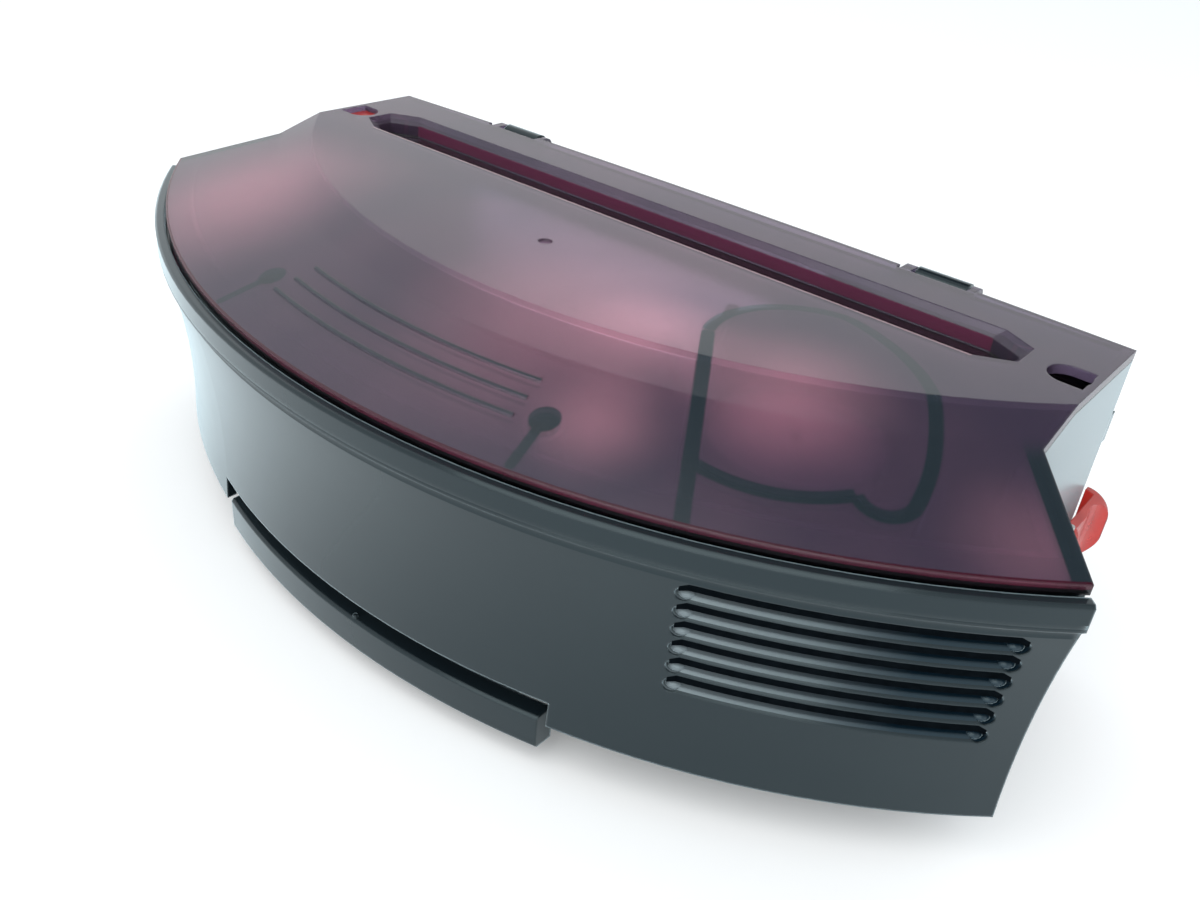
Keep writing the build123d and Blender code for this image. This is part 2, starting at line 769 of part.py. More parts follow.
latch_pins += mirrored(latch_pin)
latch_coil_height = latch_spring_space - 4 * latch_spring_wire
latch_coil = Helix(latch_coil_height / latch_spring_turns, latch_coil_height, latch_spring_radius)
latch_start = Plane(origin=latch_coil @ 0, z_dir=latch_coil % 0)
latch_wire = sweep(latch_start * Circle(latch_spring_wire), path=latch_coil)
latch_spring_right = Pos(pivot_x, pivot_y, lug_z1 + latch_spring_wire + latch_fit) * latch_wire
latch_spring_left = mirrored(latch_spring_right)

# Fan housing: scroll wall, duct floor and the partition towards the dust chamber
partition_start = (filter_x + filter_wall, fan_y + partition_forward)
partition_bend = (fan_x - partition_bend_left, fan_y - partition_bend_back)
partition_end = (fan_x + partition_end_right, fan_y - partition_end_back)
side_vector = (partition_end[0] - partition_bend[0], partition_end[1] - partition_bend[1])
side_length = sqrt(side_vector[0] ** 2 + side_vector[1] ** 2)
thick_x = -side_vector[1] / side_length * partition_thick
thick_y = side_vector[0] / side_length * partition_thick
partition_line = [partition_start, partition_bend, partition_end]
partition_outline = partition_line + [(x + thick_x, y + thick_y) for x, y in reversed(partition_line)]
rear_outline = [partition_start, (far, partition_start[1]), (far, -far), partition_end, partition_bend]
fan_rear = prism(rear_outline, 0, far)
duct_floor_bottom = duct_floor_top - duct_floor_thick
shoulder_bottom = filter_box_top + cover_seat
scroll_top = shoulder_bottom + shoulder_thick
scroll = post(fan_x, fan_y, scroll_radius, duct_floor_bottom, scroll_top)
scroll_hollow = post(fan_x, fan_y, scroll_radius - scroll_wall, duct_floor_top, far)
scroll_front = block(partition_start[0], far, partition_start[1], 0, 0, far)
scroll_room = fan_rear + scroll_front
boss_x = fan_x + scroll_radius * cos(radians(scroll_boss_turn))
boss_y = fan_y + scroll_radius * sin(radians(scroll_boss_turn))
outlet = Pos(fan_x, fan_y, 0) * Rot(0, 0, outlet_turn) * block(0, 2 * scroll_radius, -outlet_width / 2,
                                                                outlet_width / 2, outlet_bottom, outlet_top)
fan_housing = scroll - scroll_hollow
fan_housing -= outlet
fan_housing += post(boss_x, boss_y, scroll_boss_radius, duct_floor_bottom, scroll_top) - scroll_hollow
fan_housing += fan_rear & block(0, far, -far, fan_y, duct_floor_bottom, duct_floor_top)
# Upper chamber: a shoulder on the scroll and a raised rim that seals against the lid
chamber_loop = make_face([
    ThreePointArc(chamber_foot, chamber_rear, chamber_tongue).edge(),
    ThreePointArc(chamber_tongue, chamber_turn, chamber_turn_end).edge(),
    ThreePointArc(chamber_turn_end, chamber_right, chamber_front).edge(),
    ThreePointArc(chamber_front, chamber_corner, chamber_left).edge(),
    Line(chamber_left, chamber_foot).edge(),
])


def chamber_prism(grow, z0, z1):
    return Pos(fan_x, fan_y, z0) * extrude(offset(chamber_loop, grow), z1 - z0, dir=(0, 0, 1))


chamber_outside = chamber_prism(scroll_wall / 2, shoulder_bottom, far)
chamber_inside = chamber_prism(-scroll_wall / 2, shoulder_bottom, far)
shoulder = chamber_outside & block(-far, far, -far, 0, shoulder_bottom, scroll_top)
shoulder += post(fan_x, fan_y, scroll_radius, shoulder_bottom, scroll_top)
fan_housing += shoulder - (chamber_inside & scroll_hollow)
fan_housing &= scroll_room
fan_housing += chamber_outside - chamber_inside
fan_housing += prism(partition_outline, 0, far)
fan_housing -= post(fan_x, fan_y, intake_radius, 0, duct_floor_top)
fan_housing = (fan_housing & hollow) - headroom

# Filter box: wall with the filter window, front wall and top plate
box_left = filter_x + filter_wall
filter_box = block(filter_x, box_left, -filter_box_rear, -filter_box_front, 0, filter_box_top)
filter_box += block(filter_x, far, -filter_box_front - filter_wall, -filter_box_front, 0, filter_box_top)
filter_box += block(filter_x, far, -filter_roof_rear, -filter_box_front, filter_box_top - filter_wall,
                    filter_box_top)
filter_box -= post(fan_x, fan_y, scroll_radius + cover_seat, 0, far)
filter_box -= block(0, box_left + filter_wall, -filter_rear, -filter_front, filter_bottom, filter_top)
filter_box &= hollow

# Filter cartridge on the dust side of the window
frame_x1 = filter_x - filter_gasket_thick
frame_x0 = frame_x1 - filter_depth


def frame_block(grow, x0, x1):
    return block(x0, x1, -filter_rear - grow, -filter_front + grow, filter_bottom - grow, filter_top + grow)


rim_in = filter_lip - filter_rim
filter_frame = frame_block(filter_lip, frame_x0, frame_x1) - frame_block(rim_in, frame_x0, frame_x1)
filter_gasket = frame_block(filter_lip, frame_x1, filter_x) - frame_block(rim_in, frame_x1, filter_x)
pleat_front = -filter_front + rim_in
pleat_step = (filter_length + 2 * rim_in) / (2 * pleat_count)
pleat_line = []
for i in range(2 * pleat_count + 1):
    pleat_line.append(((frame_x0 + pleat_thick) if i % 2 else (frame_x1 - 2 * pleat_thick), pleat_front
                       - i * pleat_step))
pleat_back = [(x + pleat_thick, y) for x, y in reversed(pleat_line)]
filter_pleats = prism(pleat_line + pleat_back, filter_bottom - rim_in, filter_top + rim_in)
tab_y = -filter_front - filter_length / 2
tab_bottom = filter_top + rim_in
tab_ring = block(frame_x0 - tab_length, frame_x0, tab_y - tab_width / 2, tab_y + tab_width / 2, tab_bottom,
                 tab_bottom + tab_thick)
filter_tab = fillet(tab_ring.edges().filter_by(Axis.Z).group_by(Axis.X)[0], tab_width / 3)

# Impeller: top disc, hub and curved blades open below
impeller = post(0, 0, hub_radius, impeller_bottom, impeller_top)
impeller += post(0, 0, impeller_radius, impeller_top - impeller_disc, impeller_top)
blade_zone = post(0, 0, impeller_radius, impeller_bottom, impeller_top) - post(0, 0, impeller_eye, 0, far)
blade_arc = post(blade_curve + hub_radius / 2, 0, blade_curve + blade_thick / 2, impeller_bottom, impeller_top)
blade_arc -= post(blade_curve + hub_radius / 2, 0, blade_curve - blade_thick / 2, 0, far)
blade = blade_arc & blade_zone & block(-far, far, 0, far, 0, far)
for i in range(blade_count):
    impeller += Rot(0, 0, i * 360 / blade_count) * blade
impeller -= post(0, 0, shaft_radius, 0, far)
impeller = Pos(fan_x, fan_y, 0) * impeller
shaft_bottom = motor_bottom + motor_cap_thick
motor_shaft = post(fan_x, fan_y, shaft_radius, shaft_bottom + shaft_fit, impeller_top)

# Motor with bush, end cap, terminals and its three-armed mount
motor_can = post(fan_x, fan_y, motor_radius, shaft_bottom, motor_top)
motor_can -= post(fan_x, fan_y, 2 * shaft_radius, 0, far)
motor_can -= post(fan_x, fan_y, bush_radius, motor_top - bush_length, far)
motor_bush = post(fan_x, fan_y, bush_radius, motor_top - bush_length, motor_top + bush_proud)
motor_bush -= post(fan_x, fan_y, shaft_radius + shaft_fit, 0, far)
motor_cap = post(fan_x, fan_y, motor_radius, motor_bottom, shaft_bottom)
strip_top = floor_thick + strip_thick
terminal_y = fan_y + terminal_forward
terminal_xs = (fan_x - terminal_half_gap, fan_x + terminal_half_gap)
motor_terminals = Part()
for x in terminal_xs:
    motor_terminals += block(x - terminal_width / 2, x + terminal_width / 2, terminal_y - terminal_width / 2,
                             terminal_y + terminal_width / 2, strip_top, motor_bottom)
motor_terminals &= hollow
mount_out = motor_radius + mount_ring
motor_mount = post(0, 0, mount_out, motor_top - mount_ring, duct_floor_bottom)
motor_mount -= post(0, 0, motor_radius, 0, motor_top)
motor_mount -= post(0, 0, mount_lip_radius, 0, far)
motor_mount -= post(0, 0, motor_radius, motor_top + mount_arm_thick / 2, far)
arm_tip = intake_radius + mount_arm_reach
for i in range(mount_arm_count):
    arm = block(mount_out - mount_ring / 2, arm_tip, -mount_arm_width / 2, mount_arm_width / 2,
                duct_floor_bottom - mount_arm_thick, duct_floor_bottom)
    motor_mount += Rot(0, 0, mount_arm_turn + i * 360 / mount_arm_count) * arm
lip_top = motor_top + mount_arm_thick / 2


# Pan-head screw standing up from its seat, or hanging down from it
def screw(x, y, seat, length, radius, head_radius, head_height, way):
    shank = post(x, y, radius, min(seat, seat + way * length), max(seat, seat + way * length))
    head = post(x, y, head_radius, min(seat, seat - way * head_height), max(seat, seat - way * head_height))
    slot_z = seat - way * head_height
    return shank + head - block(x - head_radius, x + head_radius, y - radius / 3, y + radius / 3, slot_z
                                - head_height / 3, slot_z + head_height / 3)


mount_screws = Part()
mount_screw_circle = intake_radius + mount_arm_reach / 2
for i in range(mount_arm_count):
    turn = radians(mount_arm_turn + i * 360 / mount_arm_count)
    x = mount_screw_circle * cos(turn)
    y = mount_screw_circle * sin(turn)
    seat = duct_floor_bottom - mount_arm_thick
    motor_mount -= post(x, y, small_screw_radius, 0, far)
    fan_housing -= post(fan_x + x, fan_y + y, small_screw_radius, 0, seat + small_screw_length)
    mount_screws += screw(fan_x + x, fan_y + y, seat, small_screw_length, small_screw_radius, small_screw_head,
                          small_screw_head_height, 1)
motor_screws = Part()
for x in (-motor_screw_circle, motor_screw_circle):
    motor_mount -= post(x, 0, small_screw_radius, 0, far)
    motor_can -= post(fan_x + x, fan_y, small_screw_radius, lip_top - small_screw_length, far)
    motor_screws += screw(fan_x + x, fan_y, lip_top, small_screw_length, small_screw_radius, small_screw_head,
                          small_screw_head_height, -1)
motor_mount = Pos(fan_x, fan_y, 0) * motor_mount
cover_screws = Part()
for x in (post_x, -post_x):
    cover_screws += screw(x, post_y, screw_seat, post_plate + screw_bite, screw_radius, screw_head_radius,
                          screw_head_height, 1)

# Contacts under the floor and the metal strips to the motor
contact_plates = Part()
lead_strips = Part()
for (x, y), end_x in zip(contact_places, terminal_xs):
    contact_plates += block(x - contact_width / 2, x + contact_width / 2, y - contact_length / 2,
                            y + contact_length / 2, contact_recess, contact_recess + contact_thick)
    contact_plates += post(x, y, contact_post_radius, contact_recess, floor_thick)
    run = sqrt((end_x - x) ** 2 + (terminal_y - y) ** 2)
    across_x = -(terminal_y - y) / run * strip_width / 2
    across_y = (end_x - x) / run * strip_width / 2
    strip = [(x + across_x, y + across_y), (end_x + across_x, terminal_y + across_y),
             (end_x - across_x, terminal_y - across_y), (x - across_x, y - across_y)]
    lead_strips += prism(strip, floor_thick, strip_top)
    lead_strips += post(x, y, strip_width / 2, floor_thick, strip_top)
    lead_strips += post(end_x, terminal_y, strip_width / 2, floor_thick, strip_top)
lead_strips &= hollow

pieces = {
    "top_cover": top_cover,
    "tub": tub,
    "rear_fascia": rear_fascia,
    "release_bar": release_bar,
    "release_springs": release_springs,
    "front_door": front_door,
    "hinge_brackets": hinge_brackets,
    "hinge_pins": hinge_pins,
    "inlet_seal": inlet_seal,
    "door_gasket": door_gasket,
    "door_latch_right": door_latch_right,
    "door_latch_left": door_latch_left,
    "latch_pins": latch_pins,
    "latch_spring_right": latch_spring_right,
    "latch_spring_left": latch_spring_left,
    "fan_housing": fan_housing,
    "filter_box": filter_box,
    "filter_frame": filter_frame,
    "filter_gasket": filter_gasket,
    "filter_pleats": filter_pleats,
    "filter_tab": filter_tab,
    "impeller": impeller,
    "motor_shaft": motor_shaft,
    "motor_can": motor_can,
    "motor_bush": motor_bush,
    "motor_cap": motor_cap,
    "motor_terminals": motor_terminals,
    "motor_mount": motor_mount,
    "mount_screws": mount_screws,
    "motor_screws": motor_screws,
    "cover_screws": cover_screws,
    "contact_plates": contact_plates,
    "lead_strips": lead_strips,
}

# The origin lies under the middle of the bin, on the table
for name, solid in pieces.items():
    export_step(Pos(0, origin_back, 0) * solid, "parts/" + name + ".step")
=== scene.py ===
import math

import bmesh
import bpy
from mathutils import Matrix, Vector


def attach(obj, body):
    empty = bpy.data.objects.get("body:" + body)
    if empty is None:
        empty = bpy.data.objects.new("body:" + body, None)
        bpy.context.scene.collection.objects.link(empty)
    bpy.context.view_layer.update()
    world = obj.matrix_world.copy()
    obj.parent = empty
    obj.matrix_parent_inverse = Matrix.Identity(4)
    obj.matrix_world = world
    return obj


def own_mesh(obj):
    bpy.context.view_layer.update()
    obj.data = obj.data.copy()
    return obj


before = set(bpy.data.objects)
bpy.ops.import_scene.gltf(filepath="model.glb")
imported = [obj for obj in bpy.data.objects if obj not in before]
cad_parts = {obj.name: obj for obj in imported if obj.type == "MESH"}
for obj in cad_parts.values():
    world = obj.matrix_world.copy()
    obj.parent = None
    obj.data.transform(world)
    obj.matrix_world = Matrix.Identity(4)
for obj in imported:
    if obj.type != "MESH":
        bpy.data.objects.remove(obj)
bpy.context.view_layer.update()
print("bin loaded:", len(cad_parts), "solids")

scene = bpy.context.scene
scene.view_settings.view_transform = "Standard"


# small helpers for building shader trees
def addNode(tree, kind, inputs=None, **settings):
    node = tree.nodes.new(kind)
    for key, value in settings.items():
        setattr(node, key, value)
    for key, value in (inputs or {}).items():
        node.inputs[key].default_value = value
    return node


def joinNodes(tree, source, output, target, socket):
    tree.links.new(source.outputs[output], target.inputs[socket])


def newFinish(name):
    finish = bpy.data.materials.new(name)
    finish.use_nodes = True
    tree = finish.node_tree
    return finish, tree, tree.nodes["Principled BSDF"]


def noiseAt(tree, place, scale, detail=3.0, roughness=0.55):
    noise = addNode(tree, "ShaderNodeTexNoise", {"Scale": scale, "Detail": detail, "Roughness": roughness})
    joinNodes(tree, place, "Object", noise, "Vector")
    return noise


def rampOf(tree, source, output, stops):
    ramp = addNode(tree, "ShaderNodeValToRGB")
    first, last = ramp.color_ramp.elements[0], ramp.color_ramp.elements[-1]
    first.position, first.color = stops[0][0], (*stops[0][1], 1.0)
    last.position, last.color = stops[-1][0], (*stops[-1][1], 1.0)
    for position, colour in stops[1:-1]:
        ramp.color_ramp.elements.new(position).color = (*colour, 1.0)
    joinNodes(tree, source, output, ramp, "Fac")
    return ramp


def spanOf(tree, source, output, low, high, fromLow=0.3, fromHigh=0.7):
    span = addNode(tree, "ShaderNodeMapRange", {
        "From Min": fromLow, "From Max": fromHigh, "To Min": low, "To Max": high,
    })
    joinNodes(tree, source, output, span, "Value")
    return span


# one sum in a shader tree; numbers go on the socket, outputs are linked
def sumOf(tree, kind, *values):
    node = addNode(tree, "ShaderNodeMath", operation=kind)
    for socket, value in zip(node.inputs, values):
        if isinstance(value, (int, float)):
            socket.default_value = value
        else:
            tree.links.new(value, socket)
    return node.outputs[0]


def vectorOf(tree, kind, first, second=None):
    node = addNode(tree, "ShaderNodeVectorMath", operation=kind)
    tree.links.new(first, node.inputs[0])
    if second is not None:
        node.inputs[1].default_value = second
    return node


# one colour over another where the mask is 1; a colour is set, an output is linked
def blendOf(tree, mask, under, over):
    blend = addNode(tree, "ShaderNodeMix", data_type="RGBA")
    tree.links.new(mask, blend.inputs["Factor"])
    for key, value in (("A", under), ("B", over)):
        if isinstance(value, tuple):
            blend.inputs[key].default_value = (*value, 1.0)
        else:
            tree.links.new(value, blend.inputs[key])
    return blend.outputs["Result"]


# 1 within the reach of a distance, 0 past the soft border
def within(tree, distance, reach, soft):
    span = addNode(tree, "ShaderNodeMapRange", {
        "From Min": reach, "From Max": reach + soft, "To Min": 1.0, "To Max": 0.0,
    }, interpolation_type="SMOOTHSTEP")
    tree.links.new(distance, span.inputs["Value"])
    return span.outputs["Result"]


# between two values, 1 inside and 0 outside
def inBetween(tree, value, low, high):
    above = sumOf(tree, "GREATER_THAN", value, low)
    return sumOf(tree, "MULTIPLY", above, sumOf(tree, "LESS_THAN", value, high))


# x, y and z of a place on the bin
def partsOf(tree, place):
    parts = addNode(tree, "ShaderNodeSeparateXYZ")
    joinNodes(tree, place, "Object", parts, "Vector")
    return parts.outputs


axisBack = 0.1161  # robot axis behind the bin's own origin


# distance from the robot axis, and how far of it lies to the rear
def axisReach(tree, x, y):
    away = sumOf(tree, "SUBTRACT", axisBack, y)
    squares = sumOf(tree, "ADD", sumOf(tree, "MULTIPLY", x, x), sumOf(tree, "MULTIPLY", away, away))
    return sumOf(tree, "SQRT", squares), away


# 1 for rays that show a thing: straight, mirrored or through clear plastic
def seenRays(tree):
    path = addNode(tree, "ShaderNodeLightPath")
    mirrored = sumOf(tree, "MAXIMUM", path.outputs["Is Glossy Ray"], path.outputs["Is Transmission Ray"])
    return sumOf(tree, "MAXIMUM", path.outputs["Is Camera Ray"], mirrored)


edgeTurn = {"edgeTone": 0.80, "flat": 0.99}  # how well the rounded normal matches the true one


# where a rounded edge turns away from the true face, 0 on flats
def edgeMask(tree, rounded):
    geometry = addNode(tree, "ShaderNodeNewGeometry")
    match = addNode(tree, "ShaderNodeVectorMath", operation="DOT_PRODUCT")
    joinNodes(tree, rounded, "Normal", match, 0)
    joinNodes(tree, geometry, "Normal", match, 1)
    return spanOf(tree, match, "Value", 1.0, 0.0, edgeTurn["edgeTone"], edgeTurn["flat"]).outputs["Result"]


# painted reflection colour: the bluish sheen tint and gloss tints stand in for a bluish room, which
# reflections see as white
sheenLook = {"rough": 0.3, "tint": (0.72, 0.92, 1.0)}
plainGloss = (1.0, 1.0, 1.0)
grainHeight = 0.0001


# spark-eroded moulded plastic: slow colour drift, fine grain, softened edges that catch light, and a lighter
# colour on rounded edges
def mouldedPlastic(name, look, paint=None, soften=None, lean=None):
    finish, tree, shader = newFinish(name)
    place = addNode(tree, "ShaderNodeTexCoord")
    drift = noiseAt(tree, place, look["driftScale"], detail=4.0)
    coat = rampOf(tree, drift, "Fac", [(0.3, look["dark"]), (0.7, look["light"])]).outputs["Color"]
    if paint:
        coat = paint(tree, place, coat)
    rounded = addNode(tree, "ShaderNodeBevel", {"Radius": look["edge"]}, samples=4)
    if soften:
        tree.links.new(soften(tree, place, look["edge"]), rounded.inputs["Radius"])
    tree.links.new(blendOf(tree, edgeMask(tree, rounded), coat, look["edgeTone"]), shader.inputs["Base Color"])
    smear = noiseAt(tree, place, look["smearScale"], detail=5.0)
    gloss = spanOf(tree, smear, "Fac", look["smooth"], look["rough"])
    joinNodes(tree, gloss, "Result", shader, "Roughness")
    facing = rounded
    if lean:
        facing = addNode(tree, "ShaderNodeBump", {"Strength": 1.0, "Distance": 1.0})
        tree.links.new(lean(tree, place), facing.inputs["Height"])
        joinNodes(tree, rounded, "Normal", facing, "Normal")
    grain = noiseAt(tree, place, look["grainScale"], detail=2.0)
    bump = addNode(tree, "ShaderNodeBump", {"Strength": look["grainDepth"], "Distance": grainHeight})
    joinNodes(tree, grain, "Fac", bump, "Height")
    joinNodes(tree, facing, "Normal", bump, "Normal")
    joinNodes(tree, bump, "Normal", shader, "Normal")
    shader.inputs["IOR"].default_value = look["ior"]
    shader.inputs["Specular Tint"].default_value = (*look.get("gloss", plainGloss), 1.0)
    shader.inputs["Sheen Weight"].default_value = look.get("sheen", 0.0)
    shader.inputs["Sheen Roughness"].default_value = sheenLook["rough"]
    shader.inputs["Sheen Tint"].default_value = (*sheenLook["tint"], 1.0)
    return finish


# smoked lid: hazy burgundy plastic, with painted light in pink pools where light gathers behind it and
# painted shade where walls touch it from below
fanSpot = (0.0640, -0.0049)
smokedLidLook = {
    "deep": (0.125, 0.100, 0.175), "pale": (0.84, 0.42, 0.55), "wallShade": (0.058, 0.092, 0.118),
    "driftScale": 26.0, "drift": 0.12, "smearScale": 40.0, "smooth": 0.20, "rough": 0.22,
    "ior": 1.52, "clear": 0.80, "edge": 0.0005, "gloss": (0.90, 0.95, 1.0),
    "lightPools": [  # place, reach, strength
        ((0.0620, -0.0085), 0.023, 0.74), ((0.0440, -0.0350), 0.015, 0.62), ((0.0370, -0.0130), 0.021, 0.55),
        ((0.0140, 0.0020), 0.050, 0.22), ((0.0200, -0.0250), 0.036, 0.48), ((-0.0760, -0.0190), 0.042, 0.80),
        ((0.1070, -0.0100), 0.016, 0.35),
    ],
    "ribs": {"first": 0.1530, "pitch": 0.0043, "count": 3, "half": 11.4, "width": 0.0001},
    "farWallLight": (0.50, 0.12, 0.26), "shade": (0.020, 0.014, 0.020), "lipHighlight": (1.0, 0.55, 0.66),
    "rim": (0.16, 0.010, 0.040), "gapShade": (0.003, 0.002, 0.003),
}
# tops of the inner walls under the lid, in metres from the fan's axis
chamberArcs = [
    ((-0.0046, -0.0271), (0.0094, -0.0240), (0.0195, -0.0156)),
    ((0.0195, -0.0156), (0.0241, -0.0163), (0.0275, -0.0114)),
    ((0.0275, -0.0114), (0.0199, 0.0076), (-0.0068, 0.0252)),
    ((-0.0068, 0.0252), (-0.0206, 0.0154), (-0.0212, 0.0005)),
]
partitionLine = ((-0.0205, -0.0005), (0.0040, -0.0392))
lidPosts = {"angle": 13.2, "radius": 0.160, "size": 0.0025, "legEnd": 0.1705, "leg": 0.0007}
wingBand = {"angle": 43.1, "width": 0.0030, "from": 0.1440, "fade": 0.0060}
channelWalls = {
    "far": 0.0385, "near": 0.0249, "lip": 0.0006, "bevel": 0.0733, "floor": 0.0706, "top": 0.0748,
    "left": -0.0830, "right": 0.0800,
}
lidRim = {"reach": 0.1715, "gapShade": 0.0630}
touchSoft = 0.0005
wallHalf = 0.0010


def circleThrough(first, middle, last):
    (ax, ay), (bx, by), (cx, cy) = first, middle, last
    twice = 2 * (ax * (by - cy) + bx * (cy - ay) + cx * (ay - by))
    aa, bb, cc = ax * ax + ay * ay, bx * bx + by * by, cx * cx + cy * cy
    x = (aa * (by - cy) + bb * (cy - ay) + cc * (ay - by)) / twice
    y = (aa * (cx - bx) + bb * (ax - cx) + cc * (bx - ax)) / twice
    return Vector((x, y))


# dark stroke along part of a circle
def arcStroke(tree, flat, centre, radius, facing, half, width):
    out = vectorOf(tree, "SUBTRACT", flat, (*centre, 0.0))
    reach = vectorOf(tree, "LENGTH", out.outputs["Vector"]).outputs["Value"]
    apart = sumOf(tree, "ABSOLUTE", sumOf(tree, "SUBTRACT", reach, radius))
    unit = vectorOf(tree, "NORMALIZE", out.outputs["Vector"]).outputs["Vector"]
    turn = vectorOf(tree, "DOT_PRODUCT", unit, (*facing, 0.0)).outputs["Value"]
    inSpan = sumOf(tree, "GREATER_THAN", turn, math.cos(half))
    return sumOf(tree, "MULTIPLY", within(tree, apart, width, touchSoft), inSpan)


# dark stroke along a straight wall, or a dark spot where both ends are one place
def lineStroke(tree, flat, start, end, width):
    run = Vector(end) - Vector(start)
    out = vectorOf(tree, "SUBTRACT", flat, (*start, 0.0)).outputs["Vector"]
    if run.length == 0:
        return within(tree, vectorOf(tree, "LENGTH", out).outputs["Value"], width, touchSoft)
    share = vectorOf(tree, "DOT_PRODUCT", out, (*(run / run.length_squared), 0.0)).outputs["Value"]
    share = sumOf(tree, "MINIMUM", sumOf(tree, "MAXIMUM", share, 0.0), 1.0)
    along = addNode(tree, "ShaderNodeVectorMath", operation="SCALE")
    along.inputs[0].default_value = (*run, 0.0)
    tree.links.new(share, along.inputs["Scale"])
    apart = addNode(tree, "ShaderNodeVectorMath", operation="DISTANCE")
    tree.links.new(out, apart.inputs[0])
    tree.links.new(along.outputs["Vector"], apart.inputs[1])
    return within(tree, apart.outputs["Value"], width, touchSoft)


# painted shade: dark lines in the lid's colour where the chamber walls, the partition and the screw posts
# with their legs touch it from below, and beside its ribs
def wallShadeMarks(tree, flat, ribs):
    fan, axis = Vector(fanSpot), Vector((0, axisBack))
    marks = []
    for first, middle, last in chamberArcs:
        centre = circleThrough(first, middle, last)
        start, through, end = (Vector(spot) - centre for spot in (first, middle, last))
        half = (start.angle(through) + through.angle(end)) / 2
        swing = start.angle_signed(through)
        facing = Matrix.Rotation(swing - math.copysign(half, swing), 2) @ through
        marks.append(arcStroke(tree, flat, fan + centre, through.length, facing.normalized(), half, wallHalf))
    start, end = (fan + Vector(spot) for spot in partitionLine)
    marks.append(lineStroke(tree, flat, start, end, wallHalf))
    for side in (-1, 1):
        angle = math.radians(side * lidPosts["angle"])
        ray = Vector((math.sin(angle), -math.cos(angle)))
        spot = axis + lidPosts["radius"] * ray
        marks.append(lineStroke(tree, flat, spot, spot, lidPosts["size"]))
        marks.append(lineStroke(tree, flat, spot, axis + lidPosts["legEnd"] * ray, lidPosts["leg"]))
    for index in range(ribs["count"]):
        radius = ribs["first"] + index * ribs["pitch"] + ribs["width"]
        marks.append(arcStroke(tree, flat, axis, radius, (0, -1), math.radians(ribs["half"]), ribs["width"]))
    return marks


# channel: painted light on the far wall, painted shade on the sunk floor and a painted highlight on the near
# lip; thin dark red along the rear edge, with painted shade in the gap below it
def lidTints(tree, place, flat):
    walls = channelWalls
    along, across, height = partsOf(tree, place)
    farLip = inBetween(tree, across, walls["far"], walls["far"] + walls["lip"])
    farWall = sumOf(tree, "MULTIPLY", farLip, inBetween(tree, height, walls["floor"], walls["bevel"]))
    low = sumOf(tree, "LESS_THAN", height, walls["floor"])
    sunk = sumOf(tree, "MULTIPLY", inBetween(tree, across, walls["near"], walls["far"]), low)
    nearLip = inBetween(tree, across, walls["near"] - walls["lip"], walls["near"])
    nearLine = sumOf(tree, "MULTIPLY", nearLip, inBetween(tree, along, walls["left"], walls["right"]))
    lip = sumOf(tree, "MULTIPLY", nearLine, sumOf(tree, "GREATER_THAN", height, walls["top"]))
    out = vectorOf(tree, "SUBTRACT", flat, (0.0, axisBack, 0.0)).outputs["Vector"]
    reach = vectorOf(tree, "LENGTH", out).outputs["Value"]
    rim = sumOf(tree, "GREATER_THAN", reach, lidRim["reach"])
    gapShade = sumOf(tree, "MULTIPLY", rim, sumOf(tree, "LESS_THAN", height, lidRim["gapShade"]))
    return [(farWall, "farWallLight"), (sunk, "shade"), (lip, "lipHighlight"), (rim, "rim"), (gapShade, "gapShade")]


# painted shade: a dark band in the lid's colour where the lid lies on a shelf along each wing end
def wingShadeMark(tree, flat):
    turn = math.radians(wingBand["angle"])
    out = vectorOf(tree, "SUBTRACT", flat, (0.0, axisBack, 0.0)).outputs["Vector"]
    parts = addNode(tree, "ShaderNodeSeparateXYZ")
    tree.links.new(out, parts.inputs["Vector"])
    across = sumOf(tree, "MULTIPLY", sumOf(tree, "ABSOLUTE", parts.outputs["X"]), math.cos(turn))
    apart = sumOf(tree, "SUBTRACT", sumOf(tree, "MULTIPLY", parts.outputs["Y"], -math.sin(turn)), across)
    reach = vectorOf(tree, "LENGTH", out).outputs["Value"]
    back = sumOf(tree, "SUBTRACT", 1.0, within(tree, reach, wingBand["from"], wingBand["fade"]))
    return sumOf(tree, "MULTIPLY", within(tree, apart, wingBand["width"], touchSoft), back)


